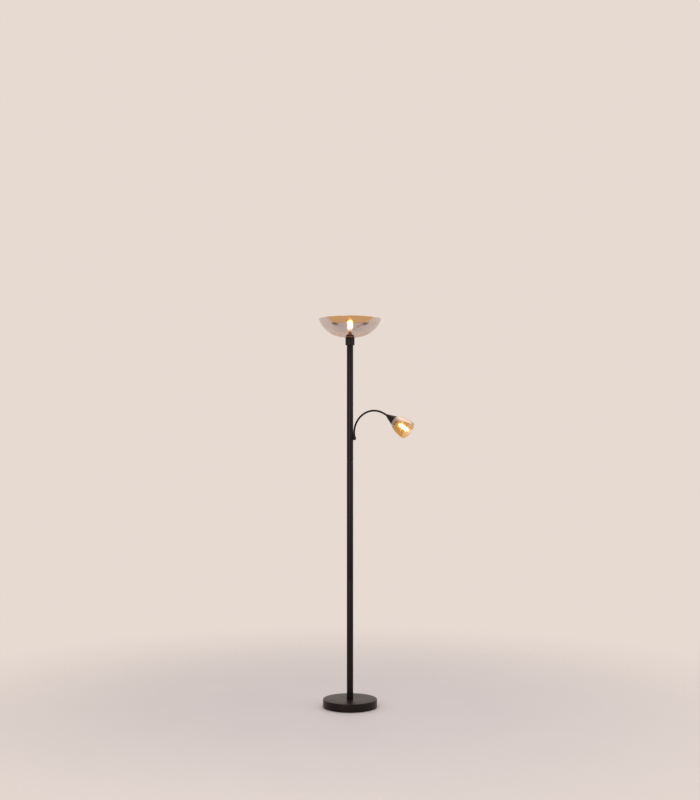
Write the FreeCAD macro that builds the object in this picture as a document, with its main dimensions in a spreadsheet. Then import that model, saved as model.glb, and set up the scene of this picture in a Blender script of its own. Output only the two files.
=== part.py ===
"""Torchiere floor lamp with a reading light on a flexible arm.

Millimetres, +Z up, origin on the floor under the pole's axis.
The arm stands in the XZ plane and reaches toward +X.
"""
import FreeCAD, Part
import Sketcher
import math
import os

from FreeCAD import Placement, Rotation, Vector

os.makedirs("parts", exist_ok=True)
doc = FreeCAD.newDocument("Lamp")
sheet = doc.addObject("Spreadsheet::Sheet", "Sizes")

SIZES = {
    # gaps between pieces and small fittings
    "fit_gap": 0.1,
    "seat_gap": 0.3,
    "turn_gap": 0.08,
    "tube_radius": 5,
    "tube_bore": 3.5,
    "nipple_past_nut": 0.5,
    "nipple_reach": 20,
    "nut_flats": 17,
    "nut_thick": 5,
    "locknut_flats": 14,
    "locknut_thick": 3.2,
    # foot
    "base_radius": 125,
    "base_top": 38,
    "base_wall": 2,
    "base_edge_round": 3,
    "pad_thick": 2,
    "pad_inset": 6,
    "weight_inset": 1,
    "weight_chamfer": 4,
    "weight_well_radius": 22,
    "weight_plate": 5.7,
    "weight_gap": 0.6,
    "channel_gap": 2,
    "washer_radius": 17,
    "washer_thick": 2.5,
    # inlet for the supply cord
    "gland_height": 9,
    "gland_flange_radius": 6,
    "gland_flange_thick": 2,
    "gland_body_radius": 5,
    "gland_length": 10,
    "gland_bore": 3.2,
    # pole
    "pole_radius": 15,
    "pole_wall": 1.5,
    "pole_top": 1676,
    "pole_chamfer": 0.6,
    "pole_seam": 0.4,
    "foot_insert_length": 24,
    "bush_length": 24,
    "stub_radius": 8,
    "stub_bore": 4.5,
    "stub_length": 18,
    "top_insert_length": 25,
    # lead inside the pole
    "lead_radius": 2.5,
    "lead_bend": 12,
    # cup and carrier
    "cup_radius": 21.5,
    "cup_height": 34.8,
    "cup_wall": 1.5,
    "cup_floor": 2.5,
    "cup_chamfer": 1.2,
    "carrier_lip": 1.5,
    "carrier_thick": 2,
    # screw holders and clamp rings
    "skirt_radius": 14,
    "skirt_wall": 2,
    "ring_gap": 0.2,
    "glass_gap": 0.5,
    "cap_gap": 0.4,
    "shell_wall": 0.35,
    "shell_gap": 0.15,
    "holder_wall": 1.6,
    "ring_proud": 1,
    "pin_bore": 1.6,
    "contact_radius": 5.5,
    "contact_thick": 1,
    "holder_plate": 4,
    "holder_floor": 2.5,
    "top_neck_rise": 15.7,
    "ring_outer": 18.5,
    "ring_height": 7.4,
    "ring_chamfer": 1.4,
    # bowl
    "bowl_depth": 84.7,
    "bowl_rim": 146.5,
    "bowl_wall": 3,
    "bowl_floor_round": 141.5,
    "bowl_side_round": 126,
    "bowl_knee_angle": 23.1,
    "bowl_rim_angle": 70.6,
    "bowl_lip_ease": 0.3,
    # candle bulbs
    "cap_radius": 6.8,
    "cap_length": 18,
    "cap_wall": 0.4,
    "cap_foot": 2.6,
    "pin_drop": 0.9,
    "bulb_neck": 7.6,
    "bulb_radius": 17.5,
    "bulb_wide_height": 28.9,
    "bulb_slim": 9.8,
    "bulb_slim_height": 60,
    "bulb_length": 75,
    "bulb_low_round": 46,
    "bulb_side_round": 62,
    "bulb_tip_round": 38,
    "bulb_wall": 0.8,
    "stem_radius": 2.6,
    "stem_length": 26,
    "filament_radius": 0.9,
    "filament_ring": 6,
    "filament_low": 24,
    "filament_high": 56,
    # arm mount
    "stud_above_seam": 111,
    "saddle_radius": 9.5,
    "saddle_thick": 1.1,
    "stud_inward": 9.2,
    "stud_outward": 0.8,
    "stud_radius": 4,
    "stud_bore": 2.2,
    "stud_nut_flats": 13,
    "stud_nut_thick": 4.6,
    "pivot_radius": 9.5,
    "pivot_edge": 0.8,
    "pivot_chamfer": 0.6,
    "cap_nut_radius": 7,
    "cap_nut_skirt": 1,
    "cap_nut_length": 2.7,
    "cap_nut_flat": 1.2,
    "cap_nut_dome": 10.8,
    "arm_post_rise": 12,
    "ferrule_wall": 0.6,
    "ferrule_length": 8.2,
    # flexible tube
    "neck_tube_radius": 4.6,
    "neck_tube_bore": 2.4,
    "neck_straight": 12.5,
    "neck_ball_step": 0.1,
    "near_bend": 101.7,
    "near_step": 23,
    "far_bend": 228,
    "far_step": 8.85,
    # reading head
    "cone_length": 42.5,
    "cone_tip_radius": 6,
    "cone_rim_radius": 22.3,
    "cone_wall": 1.6,
    "cone_solid": 16,
    "cone_socket": 9,
    "socket_gap": 0.4,
    "socket_spare": 1,
    "head_nipple_length": 21.5,
    "head_holder_start": 26,
    "head_neck_rise": 3.3,
    "head_carrier_thick": 1.6,
    "shade_top_radius": 20,
    "shade_shoulder": 23.5,
    "shade_shoulder_drop": 2.2,
    "shade_shoulder_round": 4.5,
    "shade_waist": 38.6,
    "shade_waist_drop": 36,
    "shade_mouth": 43,
    "shade_length": 84,
    "shade_near_round": 62,
    "shade_far_round": 150,
    "shade_lip_ease": 0.1,
    "shade_wall": 2.2,
    # connector
    "terminal_width": 11,
    "terminal_depth": 8,
    "terminal_height": 16,
    "terminal_drop": 50,
}


class Size:
    """A number together with the expression that gives it."""

    def __init__(self, value, text):
        self.value, self.text = float(value), text

    @staticmethod
    def of(thing):
        return thing if isinstance(thing, Size) else Size(thing, repr(float(thing)))

    def __add__(self, other):
        other = Size.of(other)
        return Size(self.value + other.value, f"({self.text} + {other.text})")

    def __sub__(self, other):
        other = Size.of(other)
        return Size(self.value - other.value, f"({self.text} - {other.text})")

    def __mul__(self, other):
        other = Size.of(other)
        return Size(self.value * other.value, f"({self.text} * {other.text})")

    def __radd__(self, other):
        return Size.of(other) + self

    def __rsub__(self, other):
        return Size.of(other) - self

    def __neg__(self):
        return Size(-self.value, f"(-1 * {self.text})")


def sine(size):
    return Size(math.sin(math.radians(size.value)), f"sin({size.text} * 1 deg)")


def cosine(size):
    return Size(math.cos(math.radians(size.value)), f"cos({size.text} * 1 deg)")


class Table:
    """The spreadsheet's sizes by name."""

    def __init__(self, sizes):
        for row, (name, number) in enumerate(sizes.items(), 1):
            sheet.set(f"A{row}", name)
            sheet.set(f"B{row}", str(number))
            sheet.setAlias(f"B{row}", name)
            setattr(self, name, Size(number, f"Sizes.{name}"))


s = Table(SIZES)
doc.recompute()

entry = s.tube_radius + s.fit_gap
cup_low = s.pole_top + s.seat_gap
cup_high = cup_low + s.cup_height
top_stand = cup_low + s.cup_floor + s.seat_gap
carrier_radius = s.cup_radius + s.carrier_lip
bowl_low = cup_high + s.seat_gap + s.carrier_thick + s.seat_gap
top_ring = bowl_low + s.bowl_wall + s.seat_gap
top_skirt = top_ring + s.ring_height - s.ring_proud - top_stand
ring_bore = s.skirt_radius + s.ring_gap
glass_hole = s.skirt_radius + s.glass_gap
shell_radius = s.cap_radius + s.cap_gap + s.shell_wall
shell_space = shell_radius + s.shell_gap

upper_seam = s.base_top + (s.pole_top - s.base_top) * (2 / 3)
stud_height = upper_seam + s.stud_above_seam
saddle_face = s.pole_radius + s.saddle_thick
pivot_low = saddle_face + s.seat_gap
arm_x = pivot_low + s.pivot_edge + s.neck_tube_radius
pivot_high = arm_x + s.neck_tube_radius + s.pivot_edge
stud_low = s.pole_radius - s.stud_inward
stud_high = pivot_high + s.seat_gap + s.stud_outward
post_top = stud_height + s.arm_post_rise
tube_low = post_top + s.seat_gap
tube_bend = tube_low + s.neck_straight

shade_low = s.cone_length + s.seat_gap + s.head_carrier_thick + s.seat_gap
head_ring = shade_low + s.shade_wall + s.seat_gap
head_skirt = head_ring + s.ring_height - s.ring_proud - s.head_holder_start
handed = []


def bind(thing, **sizes):
    for name, size in sizes.items():
        size = Size.of(size)
        setattr(thing, name, size.value)
        thing.setExpression(name, size.text)


def finish(thing, label, place=None):
    """Name a sub-part, put it in its place and keep it for export."""
    thing.Label = label
    if place is not None:
        thing.Placement = place
    handed.append(thing)
    return thing


def at(x=0, y=0, z=0, axis=(0, 0, 1), angle=0):
    return Placement(Vector(x, y, z), Rotation(Vector(*axis), angle))


def plane_of(body, role):
    return next(f for f in body.Origin.OriginFeatures if f.Role == role)


def sketch_on(body, role, drop=0):
    sketch = doc.addObject("Sketcher::SketchObject", "Outline")
    body.addObject(sketch)
    sketch.AttachmentSupport = [(plane_of(body, role), "")]
    sketch.MapMode = "FlatFace"
    if drop:
        bind_offset(sketch, drop)
    return sketch


def bind_offset(sketch, drop):
    drop = Size.of(drop)
    sketch.AttachmentOffset = at(z=drop.value)
    sketch.setExpression("AttachmentOffset.Base.z", drop.text)


def arc_between(a, b, radius):
    """The short arc from a to b, to the left of the chord when radius is positive."""
    a, b = Vector(*a, 0), Vector(*b, 0)
    half = (b - a) * 0.5
    across = Vector(-half.y, half.x, 0).normalize()
    side = 1 if radius > 0 else -1
    rise = math.sqrt(radius * radius - half.Length ** 2)
    centre = a + half - across * side * rise
    top = centre + across * side * abs(radius)
    return Part.Arc(a, top, b)


def outline(sketch, corners):
    """A closed outline through corners of (x, y) or (x, y, radius of the arc that arrives)."""
    corners = [tuple(Size.of(v) for v in c) for c in corners]
    points = [(c[0].value, c[1].value) for c in corners]
    count = len(corners)
    ends = []
    for i in range(count):
        a, b, c = points[i - 1], points[i], corners[i]
        if len(c) == 3:
            made = sketch.addGeometry(arc_between(a, b, c[2].value), False)
            sketch.addConstraint(Sketcher.Constraint("Radius", made, abs(c[2].value)))
            plain = c[2] if c[2].value > 0 else -c[2]
            sketch.setExpression(f"Constraints[{sketch.ConstraintCount - 1}]", plain.text)
            start = sketch.getPoint(made, 1)
            near = math.hypot(start.x - a[0], start.y - a[1]) < 1e-5
            ends.append((made, 1, 2) if near else (made, 2, 1))
        else:
            line = Part.LineSegment(Vector(*a, 0), Vector(*b, 0))
            ends.append((sketch.addGeometry(line, False), 1, 2))
    for i in range(count):
        made, _, last = ends[i]
        after, first, _ = ends[(i + 1) % count]
        sketch.addConstraint(Sketcher.Constraint("Coincident", made, last, after, first))
        for axis, size in zip(("DistanceX", "DistanceY"), corners[i]):
            sketch.addConstraint(Sketcher.Constraint(axis, -1, 1, made, last, size.value))
            sketch.setExpression(f"Constraints[{sketch.ConstraintCount - 1}]", size.text)


def circle(sketch, radius, x=0, y=0):
    radius, x, y = Size.of(radius), Size.of(x), Size.of(y)
    made = sketch.addGeometry(
        Part.Circle(Vector(x.value, y.value, 0), Vector(0, 0, 1), radius.value), False
    )
    for kind, args, size in (
        ("Radius", (made,), radius),
        ("DistanceX", (-1, 1, made, 3), x),
        ("DistanceY", (-1, 1, made, 3), y),
    ):
        sketch.addConstraint(Sketcher.Constraint(kind, *args, size.value))
        sketch.setExpression(f"Constraints[{sketch.ConstraintCount - 1}]", size.text)


def box_outline(sketch, x0, y0, x1, y1):
    outline(sketch, [(x0, y0), (x1, y0), (x1, y1), (x0, y1)])


def revolve(body, corners, kind="Revolution"):
    """Turn an outline of (radius, height) about the body's Z axis."""
    sketch = sketch_on(body, "XZ_Plane")
    outline(sketch, corners)
    turn = body.newObject(f"PartDesign::{kind}", kind)
    turn.Profile = sketch
    turn.ReferenceAxis = (sketch, ["V_Axis"])
    turn.Angle = 360
    sketch.Visibility = False
    return turn


def turned(label, corners, place=None):
    body = doc.addObject("PartDesign::Body", "Body")
    revolve(body, corners)
    return finish(body, label, place)


def tube(label, radius, bore, low, high, place=None, chamfer=None):
    """A plain tube or collar, chamfered on its outer edges if asked."""
    if chamfer is None:
        corners = [(bore, low), (radius, low), (radius, high), (bore, high)]
    else:
        corners = [
            (bore, low),
            (radius - chamfer, low),
            (radius, low + chamfer),
            (radius, high - chamfer),
            (radius - chamfer, high),
            (bore, high),
        ]
    return turned(label, corners, place)


def cut_round(body, role, radius, low, high, x=0, y=0):
    """Cut a round hole along the normal of an origin plane, from low to high."""
    sketch = sketch_on(body, role, low)
    circle(sketch, radius, x, y)
    cut = body.newObject("PartDesign::Pocket", "Pocket")
    cut.Profile = sketch
    cut.Reversed = True
    bind(cut, Length=Size.of(high) - Size.of(low))
    sketch.Visibility = False
    return cut


def hex_nut(label, flats, bore, low, high, place=None):
    body = doc.addObject("PartDesign::Body", "Body")
    prism = body.newObject("PartDesign::AdditivePrism", "Prism")
    prism.Polygon = 6
    high, low = Size.of(high), Size.of(low)
    bind(prism, Circumradius=flats * (1 / math.sqrt(3)), Height=high - low)
    prism.AttachmentSupport = [(plane_of(body, "XY_Plane"), "")]
    prism.MapMode = "FlatFace"
    prism.AttachmentOffset = at(z=low.value)
    prism.setExpression("AttachmentOffset.Base.z", low.text)
    cut_round(body, "XY_Plane", bore, low, high)
    return finish(body, label, place)


# ---------------------------------------------------------------- foot


def make_base_cover():
    """Pressed steel cover with a rounded shoulder and the hole for the lead."""
    low = s.pad_thick + s.seat_gap
    inner = s.base_radius - s.base_wall
    roof = s.base_top - s.base_wall
    inner_round = s.base_edge_round - s.base_wall
    body = doc.addObject("PartDesign::Body", "Body")
    revolve(body, [
        (entry, roof),
        (inner - inner_round, roof),
        (inner, roof - inner_round, inner_round),
        (inner, low),
        (s.base_radius, low),
        (s.base_radius, s.base_top - s.base_edge_round),
        (s.base_radius - s.base_edge_round, s.base_top, -s.base_edge_round),
        (entry, s.base_top),
    ])
    hole = s.gland_body_radius + s.seat_gap
    sketch = sketch_on(body, "XZ_Plane", -(s.base_radius + s.gland_length))
    circle(sketch, hole, 0, s.gland_height)
    cut = body.newObject("PartDesign::Pocket", "GlandHole")
    cut.Profile = sketch
    cut.Reversed = True
    bind(cut, Length=s.gland_length * 2)
    sketch.Visibility = False
    finish(body, "base_cover")
    return body, cut


def make_base_weight():
    """Cast disc that fills the cover, with a well for the nut and a lead channel."""
    radius = s.base_radius - s.base_wall - s.weight_inset
    top = s.base_top - s.base_wall - s.seat_gap
    ceiling = top - s.weight_plate
    bore = s.tube_radius + s.weight_gap
    body = doc.addObject("PartDesign::Body", "Body")
    revolve(body, [
        (bore, ceiling),
        (s.weight_well_radius, ceiling),
        (s.weight_well_radius, s.pad_thick),
        (radius, s.pad_thick),
        (radius, top - s.weight_chamfer),
        (radius - s.weight_chamfer, top),
        (bore, top),
    ])
    sketch = sketch_on(body, "XY_Plane", s.pad_thick)
    half = s.gland_body_radius + s.channel_gap
    box_outline(sketch, -half, s.weight_well_radius * 0.9, half, s.base_radius)
    cut = body.newObject("PartDesign::Pocket", "LeadChannel")
    cut.Profile = sketch
    cut.Reversed = True
    bind(cut, Length=s.gland_height + half - s.pad_thick)
    sketch.Visibility = False
    return finish(body, "base_weight")


def make_base_fixings():
    """Nipple, washer and nut that hold the pole down on the weight."""
    ceiling = s.base_top - s.base_wall - s.seat_gap - s.weight_plate
    washer_top = ceiling - s.fit_gap
    nut_top = washer_top - s.washer_thick - s.fit_gap
    tube("base_washer", s.washer_radius, entry, washer_top - s.washer_thick, washer_top)
    hex_nut("base_nut", s.nut_flats, entry, nut_top - s.nut_thick, nut_top)
    tube("base_nipple", s.tube_radius, s.tube_bore, nut_top - s.nut_thick - s.nipple_past_nut,
         s.base_top + s.nipple_reach)


def make_base_pad():
    """Soft pad under the whole foot."""
    tube("base_pad", s.base_radius - s.pad_inset, Size.of(0), Size.of(0), s.pad_thick)


def make_cable_gland():
    """Bush in the cover's rear wall; local Z runs out through the wall."""
    face = Size.of(0)
    body = doc.addObject("PartDesign::Body", "Body")
    revolve(body, [
        (s.gland_bore, -s.gland_length),
        (s.gland_body_radius - 1, -s.gland_length),
        (s.gland_body_radius, -s.gland_length + 1),
        (s.gland_body_radius, face),
        (s.gland_flange_radius, face),
        (s.gland_flange_radius, s.gland_flange_thick - 0.8),
        (s.gland_flange_radius - 0.8, s.gland_flange_thick),
        (s.gland_bore + 0.6, s.gland_flange_thick),
        (s.gland_bore, s.gland_flange_thick - 0.6),
    ])
    place = at(0, s.base_radius.value + s.fit_gap.value, s.gland_height.value, (1, 0, 0), -90)
    return finish(body, "cable_gland", place)


# ---------------------------------------------------------------- pole


def section_ends():
    """Bottom and top of each of the three equal sections."""
    whole = s.pole_top - s.base_top
    cuts = [s.base_top + whole * (n / 3) for n in range(4)]
    half = s.pole_seam * 0.5
    low = [cuts[0] + s.fit_gap, cuts[1] + half, cuts[2] + half]
    high = [cuts[1] - half, cuts[2] - half, cuts[3]]
    return list(zip(low, high))


def make_pole():
    """Three tubes that screw end to end."""
    bore = s.pole_radius - s.pole_wall
    bodies = []
    for name, (low, high) in zip(("lower", "middle", "upper"), section_ends()):
        bodies.append(
            tube(f"pole_{name}", s.pole_radius, bore, low, high, chamfer=s.pole_chamfer)
        )
    stud_hole = s.stud_radius + s.seat_gap
    cut_round(bodies[2], "YZ_Plane", stud_hole, bore * 0.5, s.pole_radius + 1, y=stud_height)


def make_pole_inserts():
    """Bushes at the tube ends: the lower of each pair carries the threaded stub."""
    fit = s.pole_radius - s.pole_wall - s.fit_gap
    ends = section_ends()
    foot = ends[0][0]
    tube("pole_foot_insert", fit, entry, foot, foot + s.foot_insert_length)
    for name, seam in (("lower", 0), ("upper", 1)):
        high, low = ends[seam][1], ends[seam + 1][0]
        turned(f"{name}_joint_stub", [
            (s.stub_bore, high - s.bush_length),
            (fit, high - s.bush_length),
            (fit, high),
            (s.stub_radius, high),
            (s.stub_radius, high + s.stub_length - 1),
            (s.stub_radius - 1, high + s.stub_length),
            (s.stub_bore, high + s.stub_length),
        ])
        tube(f"{name}_joint_bush", fit, s.stub_radius + s.fit_gap, low, low + s.bush_length)
    top = s.pole_top
    tube("pole_top_insert", fit, entry, top - s.top_insert_length, top)


def make_inner_lead():
    """Lead from the gland up through the pole to the top holder."""
    far = s.base_radius + s.fit_gap - s.gland_length - s.seat_gap
    rise = s.gland_height + s.lead_bend
    lying = doc.addObject("Part::Cylinder", "LeadLying")
    bind(lying, Radius=s.lead_radius, Height=far - s.lead_bend)
    lying.Placement = at(0, s.lead_bend.value, s.gland_height.value, (1, 0, 0), -90)
    lying.setExpression("Placement.Base.y", s.lead_bend.text)
    lying.setExpression("Placement.Base.z", s.gland_height.text)
    turn = doc.addObject("Part::Torus", "LeadTurn")
    bind(turn, Radius1=s.lead_bend, Radius2=s.lead_radius, Angle3=Size.of(90))
    centre = Vector(0, s.lead_bend.value, rise.value)
    turn.Placement = Placement(centre, Rotation(Vector(0, -1, 0), Vector(0, 0, -1), Vector(1, 0, 0)))
    rising = doc.addObject("Part::Cylinder", "LeadRising")
    bind(rising, Radius=s.lead_radius, Height=cup_low + s.cup_floor + s.holder_plate - rise)
    rising.Placement = at(0, 0, rise.value)
    rising.setExpression("Placement.Base.z", rise.text)
    whole = doc.addObject("Part::MultiFuse", "Lead")
    whole.Shapes = [lying, turn, rising]
    whole.Refine = True
    return finish(whole, "inner_lead")


# ---------------------------------------------------------------- holders and bulbs


def make_holder(prefix, place, skirt, neck):
    """Screw holder: body, screw shell and contact, standing on local Z = 0."""
    shelf = neck - s.cap_length - s.pin_drop - s.contact_thick - s.fit_gap
    floor = shelf - s.holder_floor
    outer = shell_space + s.holder_wall
    bore = s.skirt_radius - s.skirt_wall
    turned(f"{prefix}_holder_body", [
        (entry, 0),
        (s.skirt_radius, 0),
        (s.skirt_radius, skirt),
        (outer, skirt),
        (outer, neck - 0.6),
        (outer - 0.6, neck),
        (shell_space, neck),
        (shell_space, shelf),
        (s.pin_bore, shelf),
        (s.pin_bore, floor),
        (bore, floor),
        (bore, s.holder_plate),
        (entry, s.holder_plate),
    ], place)
    contact_top = shelf + s.contact_thick
    turned(f"{prefix}_holder_contact", [
        (0, shelf), (s.contact_radius, shelf), (s.contact_radius, contact_top), (0, contact_top),
    ], place)
    shell_low = contact_top + s.seat_gap
    tube(f"{prefix}_holder_shell", shell_radius, shell_radius - s.shell_wall,
         shell_low, neck - 0.8, place)


def make_bulb(prefix, place):
    """Candle bulb whose cap ends at local Z = 0 and whose glass stands above."""
    low = -s.cap_length
    turned(f"{prefix}_bulb_cap", [
        (s.cap_foot + 0.4, low),
        (s.cap_foot + 1.6, low),
        (s.cap_radius, low + 2.5),
        (s.cap_radius, -0.3),
        (s.cap_radius - s.cap_wall, -0.3),
        (s.cap_radius - s.cap_wall, low + 2.7),
        (s.cap_foot + 0.4, low + 0.8),
    ], place)
    turned(f"{prefix}_bulb_contact", [
        (0, low - s.pin_drop), (s.cap_foot - 0.8, low - s.pin_drop), (s.cap_foot, low - 0.3),
        (s.cap_foot, low + 1.2), (0, low + 1.2),
    ], place)
    wall = s.bulb_wall
    wide, knee, high = s.bulb_wide_height, s.bulb_slim_height, s.bulb_length
    turned(f"{prefix}_bulb_glass", [
        (0, 0),
        (s.bulb_neck, 0),
        (s.bulb_radius, wide, -s.bulb_low_round),
        (s.bulb_slim, knee, -s.bulb_side_round),
        (1.6, high - 0.6, -s.bulb_tip_round),
        (0, high),
        (0, high - 2.4),
        (1.1, high - 2.8),
        (s.bulb_slim - wall, knee - 0.3, s.bulb_tip_round - wall),
        (s.bulb_radius - wall, wide, s.bulb_side_round - wall),
        (s.bulb_neck - wall, 1.2, s.bulb_low_round - wall),
        (s.stem_radius, 1.2),
        (s.stem_radius, s.stem_length - 6),
        (s.stem_radius * 0.5, s.stem_length - 4),
        (0, s.stem_length - 4),
    ], place)
    make_filaments(prefix, place)


def make_filaments(prefix, place):
    """Four leaning rods between a lower ring and an upper ring."""
    body = doc.addObject("PartDesign::Body", "Body")
    inner, outer = s.filament_ring - 0.6, s.filament_ring + 0.6
    revolve(body, [
        (0, s.stem_length - 3.7), (1, s.stem_length - 3.7), (1, s.filament_low - 0.2),
        (outer, s.filament_low - 0.2), (outer, s.filament_low + 1), (0, s.filament_low + 1),
    ])
    inner = s.filament_ring * 0.5
    revolve(body, [
        (0, s.filament_high - 1), (inner + 0.6, s.filament_high - 1),
        (inner + 0.6, s.filament_high), (0, s.filament_high),
    ])
    run = s.filament_high - s.filament_low - 0.4
    lean = math.degrees(math.atan2(inner.value, run.value))
    for n in range(4):
        rod = body.newObject("PartDesign::AdditiveCylinder", "Rod")
        bind(rod, Radius=s.filament_radius, Height=run)
        turn = Rotation(Vector(0, 0, 1), 90 * n)
        foot = turn.multVec(Vector(s.filament_ring.value - 0.6, 0, s.filament_low.value + 0.4))
        rod.AttachmentSupport = [(plane_of(body, "XY_Plane"), "")]
        rod.MapMode = "FlatFace"
        rod.AttachmentOffset = Placement(foot, turn * Rotation(Vector(0, 1, 0), -lean))
    return finish(body, f"{prefix}_bulb_filaments", place)


# ---------------------------------------------------------------- uplighter


def make_uplighter():
    """Cup, holder, bowl and the ring that clamps the bowl."""
    low, high = cup_low, cup_high
    turned("holder_cup", [
        (entry, low),
        (s.cup_radius - s.cup_chamfer, low),
        (s.cup_radius, low + s.cup_chamfer),
        (s.cup_radius, high),
        (s.cup_radius - s.cup_wall, high),
        (s.cup_radius - s.cup_wall, low + s.cup_floor),
        (entry, low + s.cup_floor),
    ])
    stand = top_stand
    neck = top_skirt + s.top_neck_rise
    tube("top_nipple", s.tube_radius, s.tube_bore, s.pole_top - s.nipple_reach, stand + 12)
    nut_low = stand + s.holder_plate + s.seat_gap
    hex_nut("top_locknut", s.locknut_flats, entry, nut_low, nut_low + s.locknut_thick)
    plate = cup_high + s.seat_gap
    tube("shade_carrier", carrier_radius, ring_bore, plate, plate + s.carrier_thick,
         chamfer=Size.of(0.5))
    make_holder("top", at(z=stand.value), top_skirt, neck)
    make_clamp_ring("top", at(z=top_ring.value))
    make_bowl()
    make_bulb("top", at(z=(stand + neck + s.seat_gap).value))


def make_clamp_ring(prefix, place):
    """Threaded ring that holds a glass down on its carrier."""
    high = s.ring_height
    turned(f"{prefix}_shade_ring", [
        (ring_bore, 0),
        (s.ring_outer, 0),
        (s.ring_outer, high - s.ring_chamfer),
        (s.ring_outer - s.ring_chamfer, high),
        (ring_bore, high),
    ], place)


def make_bowl():
    """Open glass bowl of two arcs, with a flat seat and a rounded lip."""
    low = bowl_low
    wall = s.bowl_wall
    lean, rim = s.bowl_knee_angle, s.bowl_rim_angle
    knee_r = carrier_radius + s.bowl_floor_round * sine(lean)
    knee_z = low + s.bowl_floor_round * (1 - cosine(lean))
    lip_r = s.bowl_rim - wall * sine(rim)
    lip_z = low + s.bowl_depth + wall * cosine(rim)
    body = doc.addObject("PartDesign::Body", "Body")
    revolve(body, [
        (glass_hole, low),
        (carrier_radius, low),
        (knee_r, knee_z, -s.bowl_floor_round),
        (s.bowl_rim, low + s.bowl_depth, -s.bowl_side_round),
        (lip_r, lip_z, -(wall * 0.5 + s.bowl_lip_ease)),
        (knee_r - wall * sine(lean), knee_z + wall * cosine(lean), s.bowl_side_round - wall),
        (carrier_radius, low + wall, s.bowl_floor_round - wall),
        (glass_hole, low + wall),
    ])
    return finish(body, "bowl_glass")


# ---------------------------------------------------------------- arm foot


def along_x(x, z):
    """A placement whose local Z runs along +X."""
    return Placement(Vector(x, 0, z), Rotation(Vector(0, 1, 0), 90))


def make_arm_mount():
    """Saddle, hollow stud and nut on the pole, and the domed nut that keeps the swivel on."""
    place = along_x(0, stud_height.value)
    saddle = tube("arm_saddle", s.saddle_radius, s.stud_radius + s.fit_gap,
                  s.pole_radius * 0.5, saddle_face, place)
    cut_round(saddle, "YZ_Plane", s.pole_radius + s.fit_gap, s.saddle_radius * -2,
              s.saddle_radius * 2)
    tube("arm_stud", s.stud_radius, s.stud_bore, stud_low, stud_high, place)
    hex_nut("arm_stud_nut", s.stud_nut_flats, s.stud_radius + s.fit_gap, stud_low + 0.4,
            stud_low + 0.4 + s.stud_nut_thick, place)
    start = pivot_high + s.seat_gap
    turned("arm_cap_nut", [
        (s.stud_radius + s.fit_gap, start),
        (s.cap_nut_radius, start),
        (s.cap_nut_radius, start + s.cap_nut_skirt),
        (s.cap_nut_flat, start + s.cap_nut_length, -s.cap_nut_dome),
        (0, start + s.cap_nut_length),
        (0, stud_high + s.seat_gap),
        (s.stud_radius + s.fit_gap, stud_high + s.seat_gap),
    ], place)


def make_pivot():
    """Swivel block on the stud with the post that carries the flexible tube."""
    body = doc.addObject("PartDesign::Body", "Body")
    low, high = pivot_low, pivot_high
    revolve(body, [
        (s.stud_radius + s.turn_gap, low),
        (s.pivot_radius - s.pivot_chamfer, low),
        (s.pivot_radius, low + s.pivot_chamfer),
        (s.pivot_radius, high - s.pivot_chamfer),
        (s.pivot_radius - s.pivot_chamfer, high),
        (s.stud_radius + s.turn_gap, high),
    ])
    post_low = s.stud_radius + 2.5
    sketch = sketch_on(body, "YZ_Plane", post_low)
    circle(sketch, s.neck_tube_radius, 0, arm_x)
    post = body.newObject("PartDesign::Pad", "Post")
    post.Profile = sketch
    bind(post, Length=s.arm_post_rise - post_low)
    sketch.Visibility = False
    cut_round(body, "YZ_Plane", s.stud_bore, s.stud_radius - 1, s.arm_post_rise + 1, y=arm_x)
    turn = Rotation(Vector(0, 0, 1), Vector(0, -1, 0), Vector(1, 0, 0))
    return finish(body, "pivot_body", Placement(Vector(0, 0, stud_height.value), turn))


def make_ferrule():
    """Collar over the joint between the post and the flexible tube."""
    low = stud_height + s.pivot_radius + s.seat_gap
    bore = s.neck_tube_radius + s.fit_gap
    tube("arm_ferrule", bore + s.ferrule_wall, bore, low, low + s.ferrule_length,
         at(arm_x.value, 0, 0), chamfer=Size.of(0.3))


# ---------------------------------------------------------------- flexible tube


def tube_bends():
    """Radius and angle of each bent piece: five alike and a flatter one at the head."""
    return [(s.near_bend, s.near_step)] * 5 + [(s.far_bend, s.far_step)]


def tube_steps():
    """Joint centres and headings along the tube, worked out from its two bends."""
    x, z, heading = arm_x.value, tube_bend.value, 0.0
    steps = [(x, z, heading)]
    for bend, step in tube_bends():
        a, b = math.radians(heading), math.radians(heading + step.value)
        x += bend.value * (math.cos(a) - math.cos(b))
        z += bend.value * (math.sin(b) - math.sin(a))
        heading += step.value
        steps.append((x, z, heading))
    return steps


def add_solid(kind, **sizes):
    made = doc.addObject(f"Part::{kind}", kind)
    bind(made, **sizes)
    return made


def torus_piece(bend, radius, angle):
    """A bent rod that starts at the origin along +Z and leans toward +X."""
    made = add_solid("Torus", Radius1=bend, Radius2=radius, Angle3=angle)
    turn = Rotation(Vector(-1, 0, 0), Vector(0, 0, 1), Vector(0, 1, 0))
    made.Placement = Placement(Vector(bend.value, 0, 0), turn)
    made.setExpression("Placement.Base.x", bend.text)
    return made


def far_end(bend, step):
    """Where a bent rod ends, as a placement along its heading."""
    a = math.radians(step.value)
    end = Vector(bend.value * (1 - math.cos(a)), 0, bend.value * math.sin(a))
    return Placement(end, Rotation(Vector(0, 1, 0), step.value))


def joint_ball(end):
    """Ball and the flared bore through it, about a joint centre."""
    radius = s.neck_tube_radius - s.neck_ball_step
    ball = add_solid("Sphere", Radius=radius)
    ball.Placement = end
    flare = add_solid("Cone", Radius1=Size.of(2), Radius2=radius, Height=Size.of(4.8))
    flare.Placement = end * at(z=-0.6)
    nose = add_solid("Cylinder", Radius=s.neck_tube_radius, Height=Size.of(4))
    nose.Placement = end * at(z=2.4)
    return ball, [flare, nose]


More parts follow.
